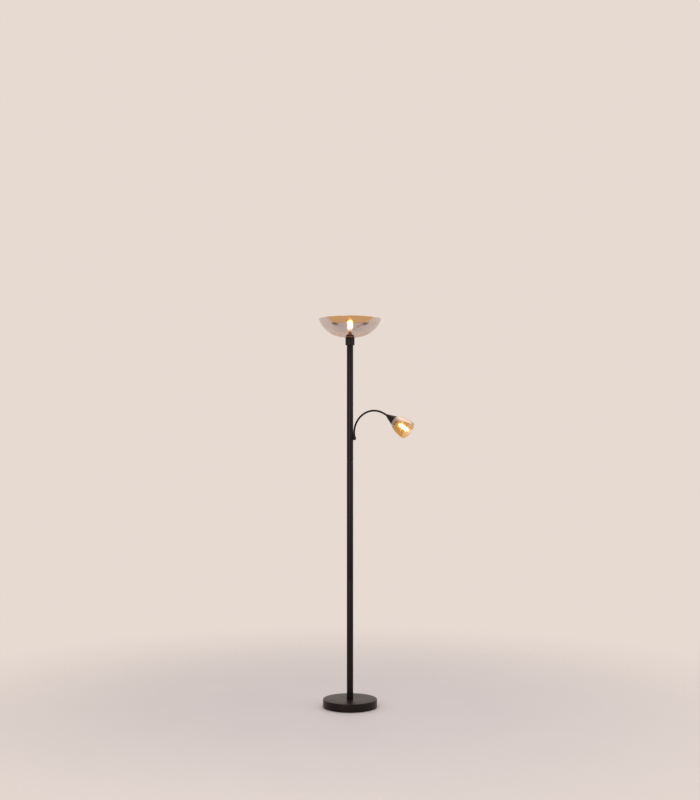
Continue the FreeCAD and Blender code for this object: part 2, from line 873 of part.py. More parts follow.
def joint_cup():
    """Hollow about a joint centre that clears the ball in it."""
    return add_solid("Sphere", Radius=s.neck_tube_radius - s.neck_ball_step + s.seat_gap)


def cut_from(label, keep, remove, place):
    whole = keep[0]
    if len(keep) > 1:
        whole = doc.addObject("Part::MultiFuse", "Whole")
        whole.Shapes = keep
    away = doc.addObject("Part::MultiFuse", "Away")
    away.Shapes = remove
    cut = doc.addObject("Part::Cut", "Cut")
    cut.Base, cut.Tool = whole, away
    return finish(cut, label, place)


def make_tube_foot():
    """Straight first piece, fixed in the ferrule."""
    length = s.neck_straight
    rod = add_solid("Cylinder", Radius=s.neck_tube_radius, Height=length)
    bore = add_solid("Cylinder", Radius=s.neck_tube_bore, Height=length - 3)
    slim = add_solid("Cylinder", Radius=Size.of(1.6), Height=length)
    ball, away = joint_ball(at(z=length.value))
    place = at(arm_x.value, 0, tube_low.value)
    cut_from("neck_piece_0", [rod, ball], [bore, slim] + away, place)


def make_tube_link(number, bend, step, start):
    """One bent piece: a cup at its near end and a ball at its far end."""
    rod = torus_piece(bend, s.neck_tube_radius, step)
    slim = torus_piece(bend, Size.of(1.6), step)
    short = step - 5
    bore = torus_piece(bend, s.neck_tube_bore, short)
    cup = joint_cup()
    ball, away = joint_ball(far_end(bend, step))
    x, z, heading = start
    place = at(x, 0, z, (0, 1, 0), heading)
    cut_from(f"neck_piece_{number}", [rod, ball], [slim, bore, cup] + away, place)


def make_tube_end(bend, step, start):
    """Last piece, fixed in the head: a cup at its near end and a plain far end."""
    rod = torus_piece(bend, s.neck_tube_radius, step)
    bore = torus_piece(bend, s.neck_tube_bore, step)
    cup = joint_cup()
    x, z, heading = start
    cut_from("neck_piece_6", [rod], [bore, cup], at(x, 0, z, (0, 1, 0), heading))


def make_flexible_tube():
    steps, bends = tube_steps(), tube_bends()
    make_tube_foot()
    for n in range(5):
        make_tube_link(n + 1, *bends[n], steps[n])
    make_tube_end(*bends[5], steps[5])


# ---------------------------------------------------------------- reading head


def head_frame():
    """The head's own frame: local Z leaves the tube's end along its heading."""
    x, z, heading = tube_steps()[-1]
    place = at(x, 0, z, (0, 1, 0), heading)
    return place * at(z=s.socket_spare.value - s.cone_socket.value)


def make_cone():
    """Turned and hollowed cone between the flexible tube and the glass."""
    tip, rim = s.cone_tip_radius, s.cone_rim_radius
    end = s.cone_length
    slope = (rim - tip).value / end.value
    inner_low = tip + s.cone_solid * slope - s.cone_wall
    socket = s.neck_tube_radius + s.socket_gap
    turned("head_cone", [
        (socket, 0),
        (tip, 0),
        (rim, end),
        (rim - s.cone_wall, end),
        (inner_low, s.cone_solid),
        (entry, s.cone_solid),
        (entry, s.cone_socket),
        (socket, s.cone_socket),
    ], head_frame())


def make_head():
    """Cone, holder, glass, clamp ring and bulb of the reading light."""
    frame = head_frame()
    start = s.head_holder_start
    make_cone()
    tube("head_nipple", s.tube_radius, s.tube_bore, s.cone_socket + s.seat_gap,
         s.cone_socket + s.seat_gap + s.head_nipple_length, frame)
    spacer_low = s.cone_solid + s.seat_gap
    tube("head_spacer", Size.of(8.2), entry, spacer_low, start - s.seat_gap, frame)
    tube("head_carrier", s.cone_rim_radius, ring_bore, s.cone_length + s.seat_gap,
         s.cone_length + s.seat_gap + s.head_carrier_thick, frame, chamfer=Size.of(0.4))
    neck = head_skirt + s.head_neck_rise
    make_holder("head", frame * at(z=start.value), head_skirt, neck)
    make_reading_glass(frame)
    make_clamp_ring("head", frame * at(z=head_ring.value))
    make_bulb("head", frame * at(z=(start + neck + s.seat_gap).value))


def make_reading_glass(frame):
    """Bell-shaped glass, open at the far end."""
    low, wall = shade_low, s.shade_wall
    shoulder = low + s.shade_shoulder_drop
    waist = low + s.shade_waist_drop
    mouth = low + s.shade_length
    turned("head_glass", [
        (glass_hole, low),
        (s.shade_top_radius, low),
        (s.shade_shoulder, shoulder, -s.shade_shoulder_round),
        (s.shade_waist, waist, -s.shade_near_round),
        (s.shade_mouth, mouth - 0.8, -s.shade_far_round),
        (s.shade_mouth - wall, mouth - 0.8, -(wall * 0.5 + s.shade_lip_ease)),
        (s.shade_waist - wall, waist + 0.4, s.shade_far_round - wall),
        (s.shade_shoulder - wall, shoulder + wall, s.shade_near_round - wall),
        (s.shade_top_radius - 0.5, low + wall),
        (glass_hole, low + wall),
    ], frame)


# ---------------------------------------------------------------- wiring inside the pole


def make_terminals():
    """Connector where the arm's own lead leaves the main one, beside the stud."""
    half = s.terminal_width * 0.5
    body = doc.addObject("PartDesign::Body", "Body")
    sketch = sketch_on(body, "XY_Plane", stud_height - s.terminal_drop)
    near = s.lead_radius + s.seat_gap
    box_outline(sketch, near, -half, near + s.terminal_depth, half)
    pad = body.newObject("PartDesign::Pad", "Block")
    pad.Profile = sketch
    bind(pad, Length=s.terminal_height)
    sketch.Visibility = False
    return finish(body, "terminal_block")


make_base_cover()
make_base_weight()
make_base_fixings()
make_base_pad()
make_cable_gland()
make_pole()
make_pole_inserts()
make_inner_lead()
make_uplighter()
make_arm_mount()
make_pivot()
make_ferrule()
make_flexible_tube()
make_head()
make_terminals()

doc.recompute()

for thing in doc.Objects:
    bad = {"Invalid", "Error"} & set(thing.State)
    if bad:
        raise RuntimeError(f"{thing.Name} ({thing.Label}): {sorted(bad)}")
for thing in handed:
    shape = thing.Shape
    if shape.isNull() or not shape.isValid() or len(shape.Solids) != 1:
        raise RuntimeError(f"{thing.Label}: {len(shape.Solids)} solids, valid {shape.isValid()}")
    shape.exportStep(f"parts/{thing.Label}.step")
print(len(handed), "sub-parts")
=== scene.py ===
import math

import bpy
from mathutils import Matrix, Vector


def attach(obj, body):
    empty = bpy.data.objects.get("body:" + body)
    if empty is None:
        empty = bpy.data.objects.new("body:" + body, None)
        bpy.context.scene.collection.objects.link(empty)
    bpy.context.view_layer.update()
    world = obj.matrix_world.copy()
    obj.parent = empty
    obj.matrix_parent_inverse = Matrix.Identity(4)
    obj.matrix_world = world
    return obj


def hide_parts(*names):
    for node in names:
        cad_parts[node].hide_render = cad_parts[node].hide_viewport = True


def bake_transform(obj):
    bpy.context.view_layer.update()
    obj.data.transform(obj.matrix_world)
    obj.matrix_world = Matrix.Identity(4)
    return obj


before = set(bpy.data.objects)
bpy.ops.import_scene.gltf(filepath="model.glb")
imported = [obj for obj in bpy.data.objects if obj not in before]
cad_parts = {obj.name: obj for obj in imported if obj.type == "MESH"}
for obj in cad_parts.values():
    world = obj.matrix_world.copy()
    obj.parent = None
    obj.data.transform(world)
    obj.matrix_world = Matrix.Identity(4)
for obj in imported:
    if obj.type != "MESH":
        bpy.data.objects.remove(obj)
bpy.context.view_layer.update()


# ---------------------------------------------------------------- floor, light and camera
# A pale floor that melts into a pale surround, lit by soft panels, and a camera a little
# above a seated eye, five metres off and tilted slightly up.

azimuth, tilt = math.radians(27), math.radians(2.558)
eye_distance, eye_height, lens_length = 5.38, 1.179, 51.84
air_tone = (0.80, 0.70, 0.64)

back = Vector((math.sin(azimuth), -math.cos(azimuth), 0))
side = Vector((math.cos(azimuth), math.sin(azimuth), 0))
camera = bpy.data.objects.new("camera", bpy.data.cameras.new("camera"))
bpy.context.scene.collection.objects.link(camera)
camera.data.lens = lens_length
camera.location = back * eye_distance + Vector((0, 0, eye_height))
look = Vector((0, 0, math.sin(tilt))) - back * math.cos(tilt)
camera.rotation_euler = look.to_track_quat("-Z", "Y").to_euler()
bpy.context.scene.camera = camera
bpy.context.scene.view_settings.view_transform = "Standard"


class Value:
    """One socket of a shader tree, so that sums on it read as plain maths."""

    def __init__(self, paint, socket):
        self.paint, self.socket = paint, socket

    def also(self, name):
        """Another output of the same node."""
        return Value(self.paint, self.socket.node.outputs[name])

    def maths(self, operation, a, b):
        return self.paint.make("ShaderNodeMath", {"operation": operation}, {0: a, 1: b})

    def __add__(self, other):
        return self.maths("ADD", self, other)

    def __sub__(self, other):
        return self.maths("SUBTRACT", self, other)

    def __rsub__(self, other):
        return self.maths("SUBTRACT", other, self)

    def __mul__(self, other):
        return self.maths("MULTIPLY", self, other)

    __radd__, __rmul__ = __add__, __mul__


class Paint:
    """A node tree in the making, for a surface or for the air around the lamp."""

    def __init__(self, name, owner=None):
        self.owner = owner or bpy.data.materials.new(name)
        self.owner.use_nodes = True
        self.tree = self.owner.node_tree
        self.tree.nodes.clear()

    def make(self, kind, settings=None, sockets=None, output=0):
        """A node with its settings made first, then its sockets set or linked."""
        node = self.tree.nodes.new(kind)
        for name, value in (settings or {}).items():
            if name == "stops":
                self.set_stops(node.color_ramp, value)
            else:
                setattr(node, name, value)
        for name, value in (sockets or {}).items():
            if isinstance(value, Value):
                self.tree.links.new(value.socket, node.inputs[name])
            else:
                node.inputs[name].default_value = value
        return Value(self, node.outputs[output]) if len(node.outputs) else None

    def set_stops(self, ramp, stops):
        while len(ramp.elements) < len(stops):
            ramp.elements.new(1)
        for element, (place, colour) in zip(ramp.elements, stops):
            element.position, element.color = place, (*colour, 1)

    def where(self):
        return self.make("ShaderNodeTexCoord", output="Object")

    def noise(self, scale, detail=2, **more):
        sockets = {"Vector": self.where(), "Scale": scale, "Detail": detail, **more}
        return self.make("ShaderNodeTexNoise", {}, sockets)

    def blend(self, factor, first, second):
        sockets = {0: factor, 6: first, 7: second}
        return self.make("ShaderNodeMix", {"data_type": "RGBA"}, sockets, output=2)

    def vector(self, operation, *vectors, output="Vector"):
        sockets = dict(enumerate(vectors))
        return self.make("ShaderNodeVectorMath", {"operation": operation}, sockets, output)

    def bump(self, height, distance, strength=1.0):
        sockets = {"Height": height, "Distance": distance, "Strength": strength}
        return self.make("ShaderNodeBump", {}, sockets)

    def mix(self, factor, first, second):
        return self.make("ShaderNodeMixShader", {}, {0: factor, 1: first, 2: second})

    def principled(self, **sockets):
        names = {name.replace("_", " "): value for name, value in sockets.items()}
        return self.make("ShaderNodeBsdfPrincipled", {}, names)

    def rise(self, value, low, high):
        """From 0 at the low value to 1 at the high one, along a soft S."""
        sockets = {"Value": value, "From Min": low, "From Max": high}
        return self.make("ShaderNodeMapRange", {"interpolation_type": "SMOOTHSTEP"}, sockets)

    def along(self, place, axis):
        """How far a point lies from a place, measured along an axis."""
        arm = self.vector("SUBTRACT", self.where(), place)
        return self.vector("DOT_PRODUCT", arm, axis, output="Value")

    def slant(self):
        """0 where a surface faces the eye, 1 where it is seen edge on."""
        return self.make("ShaderNodeLayerWeight", {}, {"Blend": 0.5}, "Facing")

    def done(self, surface, kind="ShaderNodeOutputMaterial"):
        self.make(kind, {}, {"Surface": surface})
        return self.owner


def colour(red, green, blue):
    """A colour as its screen values, 0 to 255, turned linear."""
    def linear(part):
        part /= 255
        return part / 12.92 if part <= 0.04045 else ((part + 0.055) / 1.055) ** 2.4

    return (linear(red), linear(green), linear(blue), 1)


def make_air(strength=0.62):
    """Soft light from all round, before an even pale tone that glass and metal show too."""
    paint = Paint("air", bpy.data.worlds.new("air"))
    path = paint.make("ShaderNodeLightPath")
    seen = path + path.also("Is Glossy Ray") + path.also("Is Transmission Ray")
    light = paint.make(
        "ShaderNodeBackground", {}, {"Color": (1, 0.97, 0.93, 1), "Strength": strength})
    view = paint.make("ShaderNodeBackground", {}, {"Color": (*air_tone, 1), "Strength": 1.0})
    bpy.context.scene.world = paint.done(paint.mix(seen, light, view), "ShaderNodeOutputWorld")


def make_floor(radius=4.5, sides=96, fade=(0.35, 2.6)):
    """A round floor that is gone well before its edge."""
    mesh = bpy.data.meshes.new("floor")
    ring = [(radius * math.cos(n * math.tau / sides), radius * math.sin(n * math.tau / sides), 0)
            for n in range(sides)]
    mesh.from_pydata(ring, [], [tuple(range(sides))])
    floor = bpy.data.objects.new("floor", mesh)
    bpy.context.scene.collection.objects.link(floor)
    paint = Paint("pale floor")
    gone = paint.rise(paint.vector("LENGTH", paint.where(), output="Value"), *fade)
    tone = paint.blend(paint.noise(3, 4), (0.61, 0.55, 0.56, 1), (0.65, 0.59, 0.6, 1))
    body = paint.principled(Base_Color=tone, Roughness=0.6)
    floor.data.materials.append(
        paint.done(paint.mix(gone, body, paint.make("ShaderNodeBsdfTransparent"))))


def make_panel(name, along, across, height, size, power, tint=(1, 1, 1), aim=1.1):
    """A soft light panel: how far toward the camera, how far to its right, and how high."""
    lamp = bpy.data.lights.new(name, "AREA")
    lamp.shape, lamp.size, lamp.energy, lamp.color = "SQUARE", size, power, tint
    panel = bpy.data.objects.new(name, lamp)
    bpy.context.scene.collection.objects.link(panel)
    panel.location = back * along + side * across + Vector((0, 0, height))
    target = Vector((0, 0, aim)) - panel.location
    panel.rotation_euler = target.to_track_quat("-Z", "Y").to_euler()


make_air()
make_floor()
make_panel("key", 3.4, -1.3, 1.3, 1.4, 38, (1, 0.97, 0.93))
make_panel("fill", 2.0, 3.0, 1.6, 1.6, 20)
make_panel("top", -0.4, 0.3, 3.4, 3.2, 40, (1, 0.97, 0.95))


# ---------------------------------------------------------------- foot
# A heavy round foot: a pressed steel cover with a rolled shoulder, coated satin black, over a
# cast disc on a soft pad. The lead enters through a small bush at the back.


def eased(corners, soft=0.0004):
    """An outline whose corners are eased by small arcs; a corner may bring its own radius."""
    steps, most, nearly_straight = 4, 0.48, math.radians(176)
    points = []
    for i, corner in enumerate(corners):
        at = Vector(corner[:2])
        radius = corner[2] if len(corner) > 2 else soft
        before = Vector(corners[i - 1][:2]) - at
        after = Vector(corners[(i + 1) % len(corners)][:2]) - at
        turn = before.angle(after)
        if at.x < 1e-7 or turn > nearly_straight:
            points.append(tuple(at))
            continue
        cut = min(radius / math.tan(turn / 2), before.length * most, after.length * most)
        first, last = at + before.normalized() * cut, at + after.normalized() * cut
        for n in range(steps + 1):
            t = n / steps
            points.append(tuple(first * (1 - t) ** 2 + at * 2 * t * (1 - t) + last * t * t))
    return points


def lathe(name, outline, place=Matrix.Identity(4), steps=96):
    """A closed outline of (radius, height), outer side rising, turned about Z."""
    verts, rings = [], []
    for radius, height in outline:
        if radius < 1e-7:
            rings.append([len(verts)] * steps)
            verts.append((0, 0, height))
        else:
            rings.append(list(range(len(verts), len(verts) + steps)))
            verts += [(radius * math.cos(n * math.tau / steps),
                       radius * math.sin(n * math.tau / steps), height) for n in range(steps)]
    faces = []
    for low, high in zip(rings, rings[1:] + rings[:1]):
        for n in range(steps):
            after = (n + 1) % steps
            face = dict.fromkeys((low[n], low[after], high[after], high[n]))
            if len(face) > 2:
                faces.append(tuple(face))
    mesh = bpy.data.meshes.new(name)
    mesh.from_pydata(verts, [], faces)
    mesh.transform(place)
    return as_piece(name, mesh)


def as_piece(name, mesh, sharp=40):
    """A finished mesh as an object at the origin, smooth except at hard edges."""
    mesh.shade_smooth()
    mesh.set_sharp_from_angle(angle=math.radians(sharp))
    piece = bpy.data.objects.new(name, mesh)
    bpy.context.scene.collection.objects.link(piece)
    return piece


def dress(piece, material, body, slot, *nodes):
    """Give a piece its finish and its body, and let it stand for its CAD nodes."""
    piece.data.materials.clear()
    piece.data.materials.append(material)
    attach(piece, body)
    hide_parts(*nodes)


def finish_nodes(material, *names):
    """Give carried-over CAD nodes their finish."""
    for name in names:
        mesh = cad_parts[name].data
        mesh.materials.clear()
        mesh.materials.append(material)


def make_black_coat():
    """Satin black powder coat with a fine orange-peel grain and a faint cloudiness. Its slight
    red cast and pink specular tint are painted warm light from the lit bulbs.
    """
    paint = Paint("satin black coat")
    cloud = paint.noise(11, 3)
    grain = paint.noise(1100, 2, Roughness=0.6)
    # The slight red cast of the black is painted warm light from the lit bulbs.
    tone = paint.blend(cloud, colour(8, 5, 5), colour(18, 12, 12))
    return paint.done(paint.principled(
        Base_Color=tone, Roughness=0.3 + 0.12 * cloud,
        # The pink specular tint is painted warm reflected light.
        Specular_IOR_Level=0.2, Specular_Tint=(1, 0.86, 0.85, 1),
        Normal=paint.bump(grain, 0.00012, 0.5)))


def make_cast_iron():
    paint = Paint("cast iron")
    grit = paint.noise(420, 4)
    tone = paint.blend(grit, colour(62, 60, 58), colour(92, 88, 84))
    return paint.done(paint.principled(
        Base_Color=tone, Roughness=0.75 + 0.15 * grit, Metallic=0.6,
        Normal=paint.bump(grit, 0.0006)))


def make_foam():
    paint = Paint("foam rubber")
    cells = paint.make("ShaderNodeTexVoronoi", {}, {"Vector": paint.where(), "Scale": 900})
    tone = paint.blend(cells, colour(26, 26, 27), colour(52, 52, 54))
    return paint.done(paint.principled(
        Base_Color=tone, Roughness=0.92, Normal=paint.bump(cells, 0.0004)))


def make_zinc():
    """Bright zinc on turned steel, with the fine rings that the cutter leaves."""
    paint = Paint("zinc plate")
    rings = paint.make("ShaderNodeTexWave", {"bands_direction": "Z"},
                       {"Vector": paint.where(), "Scale": 900, "Distortion": 1.5})
    cloud = paint.noise(60, 3)
    tone = paint.blend(cloud, colour(176, 178, 180), colour(206, 207, 208))
    return paint.done(paint.principled(
        Base_Color=tone, Metallic=1.0, Roughness=0.26 + 0.18 * cloud,
        Normal=paint.bump(rings, 0.00006, 0.6)))


def make_plastic(name, dark, light, rough):
    """Moulded plastic with a faint spark-eroded grain."""
    paint = Paint(name)
    grain = paint.noise(1400, 2)
    tone = paint.blend(paint.noise(30), dark, light)
    return paint.done(paint.principled(
        Base_Color=tone, Roughness=rough + 0.12 * grain, Normal=paint.bump(grain, 0.0001, 0.5)))


black_coat = make_black_coat()
cast_iron, foam, zinc = make_cast_iron(), make_foam(), make_zinc()
black_plastic = make_plastic("black plastic", colour(26, 25, 25), colour(38, 36, 35), 0.45)

foot_radius, foot_top, shell, rim_low, nipple_hole = 0.125, 0.038, 0.002, 0.0023, 0.0051
shoulder_round, inner_round, rim_round = 0.0034, 0.0016, 0.0006
cover = lathe("foot_cover", eased([
    (nipple_hole, foot_top - shell), (foot_radius - shell, foot_top - shell, inner_round),
    (foot_radius - shell, rim_low), (foot_radius, rim_low, rim_round),
    (foot_radius, foot_top, shoulder_round), (nipple_hole, foot_top)]), steps=192)
dress(cover, black_coat, "stand", "black_coat", "base_cover")
finish_nodes(cast_iron, "base_weight")
finish_nodes(foam, "base_pad")
finish_nodes(zinc, "base_washer", "base_nut", "base_nipple")
finish_nodes(black_plastic, "cable_gland")


# ---------------------------------------------------------------- pole
# Three slim steel tubes, coated like the foot, that screw end to end: a threaded stub in
# one turns into a bush in the next and leaves a hairline joint.

pole_low, pole_high, pole_radius, pole_bore = 0.0381, 1.676, 0.015, 0.0135
half_seam, end_round = 0.0002, 0.0007
third = (pole_high - foot_top) / 3
seams = [foot_top + third, foot_top + 2 * third]
starts = [pole_low] + [seam + half_seam for seam in seams]
stops = [seam - half_seam for seam in seams] + [pole_high]
for name, low, high in zip(("lower", "middle", "upper"), starts, stops):
    tube = lathe(f"tube_{name}", eased([
        (pole_bore, low), (pole_radius, low, end_round),
        (pole_radius, high, end_round), (pole_bore, high)]))
    dress(tube, black_coat, "stand", "black_coat", f"pole_{name}")
finish_nodes(zinc, "pole_foot_insert", "pole_top_insert")
finish_nodes(black_coat, "lower_joint_stub", "lower_joint_bush", "upper_joint_stub",
             "upper_joint_bush")
finish_nodes(make_plastic("lead sheath", colour(20, 20, 20), colour(30, 30, 30), 0.4),
             "inner_lead")
finish_nodes(make_plastic("connector", colour(205, 202, 192), colour(222, 220, 212), 0.5),
             "terminal_block")


# ---------------------------------------------------------------- cup and carrier
# A turned black cup on the pole's top hides the holder's foot, and a wider ring on its
# brim carries the bowl.

cup_low, cup_high, cup_radius, cup_bore, cup_round = 1.6763, 1.7111, 0.0215, 0.02, 0.0016
cup_floor = cup_low + 0.0025
cup = lathe("cup", eased([
    (nipple_hole, cup_low), (cup_radius, cup_low, cup_round), (cup_radius, cup_high),
    (cup_bore, cup_high), (cup_bore, cup_floor), (nipple_hole, cup_floor)]))
dress(cup, black_coat, "stand", "black_coat", "holder_cup")
carrier_low, carrier_high, carrier_radius, holder_hole = 1.7114, 1.7134, 0.023, 0.0142
carrier = lathe("carrier", eased([
    (holder_hole, carrier_low), (carrier_radius, carrier_low, end_round),
    (carrier_radius, carrier_high, end_round), (holder_hole, carrier_high)]))
dress(carrier, black_coat, "stand", "black_coat", "shade_carrier")
finish_nodes(zinc, "top_nipple", "top_locknut")


# ---------------------------------------------------------------- screw holders and clamp rings
# Brown-black moulded holders with a threaded skirt, and a ribbed ring on each that clamps its
# glass down.


def make_brown_plastic_with_painted_glow():
    """Moulded thermoset plastic, warm brown, with a faint even painted glow of its own that
    stands in for the bulb's light shining on it.
    """
    paint = Paint("brown moulded plastic")
    fleck = paint.noise(520, 3)
    tone = paint.blend(fleck, colour(112, 62, 36), colour(146, 84, 50))
    return paint.done(paint.principled(
        Base_Color=tone, Roughness=0.32 + 0.1 * fleck, Normal=paint.bump(fleck, 0.00008, 0.5),
        # Painted glow: a faint emission stands in for the bulb's light on the plastic.
        Emission_Color=tone, Emission_Strength=0.8))


def make_brass():
    paint = Paint("brass")
    cloud = paint.noise(90, 3)
    tone = paint.blend(cloud, colour(196, 160, 92), colour(220, 188, 120))
    return paint.done(paint.principled(
        Base_Color=tone, Metallic=1.0, Roughness=0.25 + 0.15 * cloud))


def thread(low, high, radius, depth=0.0005, pitch=0.0015, steps=8):
    """The rising side of an outline with rounded thread crests."""
    turns = int((high - low) / pitch)
    rise = (high - low) / (turns * steps)
    return [(radius - depth * (0.5 + 0.5 * math.cos(n * math.tau / steps)), low + n * rise)
            for n in range(turns * steps + 1)]


brown_plastic_painted_glow, brass = make_brown_plastic_with_painted_glow(), make_brass()
skirt_radius, neck_radius, cap_bore, cap_depth = 0.014, 0.0093, 0.0077, 0.0184
thread_start, thread_end, thread_runout = 0.004, 0.0006, 0.0134


def make_holder(prefix, body, place, skirt, neck):
    """The holder's visible outside, from its foot to the neck that the bulb screws into."""
    shelf = neck - cap_depth
    outline = [(nipple_hole, 0), (skirt_radius, 0)]
    outline += thread(thread_start, skirt - thread_end, skirt_radius)
    outline += eased([
        (thread_runout, skirt, 0.0003), (neck_radius, skirt, 0.0006), (neck_radius, neck, 0.0009),
        (cap_bore, neck, 0.0004), (cap_bore, shelf), (nipple_hole, shelf)])
    holder = lathe(f"{prefix}_screw_holder", outline, place)
    dress(holder, brown_plastic_painted_glow, body, "holder_plastic", f"{prefix}_holder_body")
    finish_nodes(brass, f"{prefix}_holder_shell", f"{prefix}_holder_contact")


class Growth:
    """A Geometry Nodes tree in the making, with named inputs besides its geometry."""

    def __init__(self, name, **inputs):
        self.tree = bpy.data.node_groups.new(name, "GeometryNodeTree")
        face = self.tree.interface
        face.new_socket("Geometry", in_out="OUTPUT", socket_type="NodeSocketGeometry")
        for title, kind in {"Geometry": "Geometry", **inputs, "Finish": "Material"}.items():
            face.new_socket(
                title.replace("_", " "), in_out="INPUT", socket_type=f"NodeSocket{kind}")
        self.given = self.tree.nodes.new("NodeGroupInput").outputs

    def make(self, kind, settings=None, sockets=None, output=0):
        """A node with its settings made first, then its sockets set or linked."""
        node = self.tree.nodes.new(kind)
        for name, value in (settings or {}).items():
            setattr(node, name, value)
        for name, value in (sockets or {}).items():
            if isinstance(value, bpy.types.NodeSocket):
                self.tree.links.new(value, node.inputs[name])
            else:
                node.inputs[name].default_value = value
        return node.outputs[output] if len(node.outputs) else None

    def turned(self, vector, axis):
        """The turn that points one axis along a vector."""
        return self.make("FunctionNodeAlignRotationToVector", {"axis": axis}, {"Vector": vector})

    def done(self, instances, rest):
        """Make the instances real, join the rest to them and give all their finish."""
        real = self.make("GeometryNodeRealizeInstances", {}, {"Geometry": instances})
        join = self.make("GeometryNodeJoinGeometry", {}, {"Geometry": real})
        self.tree.links.new(rest, join.node.inputs["Geometry"])
        coat = self.make("GeometryNodeSetMaterial", {},
                         {"Geometry": join, "Material": self.given["Finish"]})
        self.make("NodeGroupOutput", {}, {0: coat})
        return self.tree


def rib_tree():
    """Short upright ribs set round a ring."""
    grow = Growth("ring ribs", Ribs="Int", Radius="Float", Rib="Vector")
    circle = grow.make("GeometryNodeMeshCircle", {}, {
        "Vertices": grow.given["Ribs"], "Radius": grow.given["Radius"]})
    rib = grow.make("GeometryNodeMeshCube", {}, {"Size": grow.given["Rib"]})
    aim = grow.turned(grow.make("GeometryNodeInputPosition"), "X")
    return grow.done(grow.make("GeometryNodeInstanceOnPoints", {}, {
        "Points": circle, "Instance": rib, "Rotation": aim}), grow.given["Geometry"])


def grown(carrier, tree, **inputs):
    """The plain mesh that a Geometry Nodes tree makes from an object."""
    modifier = carrier.modifiers.new("grow", "NODES")
    modifier.node_group = tree
    for item in tree.interface.items_tree:
        if item.item_type == "SOCKET" and item.in_out == "INPUT" and item.name in inputs:
            modifier[item.identifier] = inputs[item.name]
    whole = carrier.evaluated_get(bpy.context.evaluated_depsgraph_get())
    mesh = bpy.data.meshes.new_from_object(whole)
    bpy.data.objects.remove(carrier)
    return mesh


ring_ribs = rib_tree()
ring_radius, ring_half, ring_rim, ring_edge = 0.0181, 0.0037, 0.0171, 0.0023
rib_count, rib_stand, rib_size = 36, 0.01795, (0.001, 0.0012, 0.0056)


def make_clamp_ring(prefix, body, place):
    """The ribbed ring, made about its own middle and then set in place."""
    blank = lathe("ring_blank", eased([
        (holder_hole, -ring_half), (ring_radius, -ring_half), (ring_radius, ring_edge),
        (ring_rim, ring_half, 0.0005), (holder_hole, ring_half)]))
    mesh = grown(blank, ring_ribs, Ribs=rib_count, Radius=rib_stand, Rib=rib_size,
                 Finish=black_plastic)
    mesh.transform(place @ Matrix.Translation((0, 0, ring_half)))
    ring = as_piece(f"{prefix}_clamp_ring", mesh)
    dress(ring, black_plastic, body, "holder_plastic", f"{prefix}_shade_ring")


top_stand, top_ring, top_skirt = 1.6791, 1.7170, 0.0443
top_neck = top_skirt + 0.0157
make_holder("top", "stand", Matrix.Translation((0, 0, top_stand)), top_skirt, top_neck)
make_clamp_ring("top", "stand", Matrix.Translation((0, 0, top_ring)))


# ---------------------------------------------------------------- glass bowl
# A wide open bowl of smoked glass with a thin mirror film: from outside silvery grey-beige, its
# silver painted lighter on faces that look up, from within faintly mirrored. The bulb's warm glow
# through the glass and a dark reflection band are painted into it by view angle and depth. Blown,
# with a fire-polished lip.


def make_coated_glass(name, mouth, axis, edge, depth, bare, lift, gloss, tint, shaded_and_lit_silvers):
    """Smoked glass under a thin mirror film that thins out toward the neck. Where the glass faces
    the eye and lies near its mouth, a warm see-through tint is painted in as the bulb's glow
    through the glass.
    Where it is seen at a slant and deep below its mouth the film shows silver, painted lighter on
    faces that look up as painted reflected light from above, with a painted dark reflection band
    where the two meet."""
    paint = Paint(name)
    cloud = paint.noise(16, 3, Distortion=0.6)
    normal = paint.make("ShaderNodeTexCoord", output="Normal")
    up = paint.make("ShaderNodeSeparateXYZ", {}, {0: normal}, "Z")
    sunk = 0 - paint.along(mouth, axis)
    arm = paint.vector("SUBTRACT", paint.where(), mouth)
    outer = paint.rise(
        paint.vector("DOT_PRODUCT", normal, arm, output="Value"), -0.0001, 0.0001)
    film = 0.1 + 0.5 * outer * (1 - 0.9 * paint.rise(sunk, *bare))
    facing = paint.slant()
    slant = facing + 3.2 * sunk + lift * up * (2 * outer - 1) + 0.05 * (cloud - 0.5)
    # Painted glow: a warm see-through zone where the glass faces the eye and lies near its mouth,
    # standing in for the bulb's light shining through the glass.
    painted_glow_zone = (1 - paint.rise(slant, *edge)) * (1 - paint.rise(sunk, *depth))
    # Painted dark reflection: a narrow band of slant, just below the mouth, where the silver
    # turns dark brown.
    corner = paint.rise(facing, 0.2, 0.26) * (1 - paint.rise(facing, 0.28, 0.36))
    painted_dark_band = (0.85 * outer * corner * paint.rise(sunk, depth[0] - 0.004, depth[0] + 0.003)
              * (1 - paint.rise(sunk, depth[1], depth[1] + 0.011)))
    # Painted light from above: the silver is lighter on faces that look up and darker on faces
    # that look down.
    shade = paint.blend(paint.rise(up, -0.7, 0.7), *shaded_and_lit_silvers)
    smoke = paint.make("ShaderNodeBsdfTransparent", {}, {"Color": (0.88, 0.83, 0.8, 1)})
    painted_glow_tint = paint.make("ShaderNodeBsdfTransparent", {}, {"Color": tint})
    # The dark brown mixed into the silver here is the painted dark reflection band.
    silver = paint.principled(
        Base_Color=paint.blend(painted_dark_band, shade, (0.12, 0.05, 0.02, 1)), Metallic=1.0,
        Roughness=gloss + 0.08 * cloud, Normal=paint.bump(paint.noise(38, 1), 0.0003, 0.3))
    cover = film * (1 - 0.9 * painted_glow_zone * outer)
    return paint.done(paint.mix(
        cover + painted_dark_band * (1 - cover), paint.mix(painted_glow_zone, smoke, painted_glow_tint), silver))


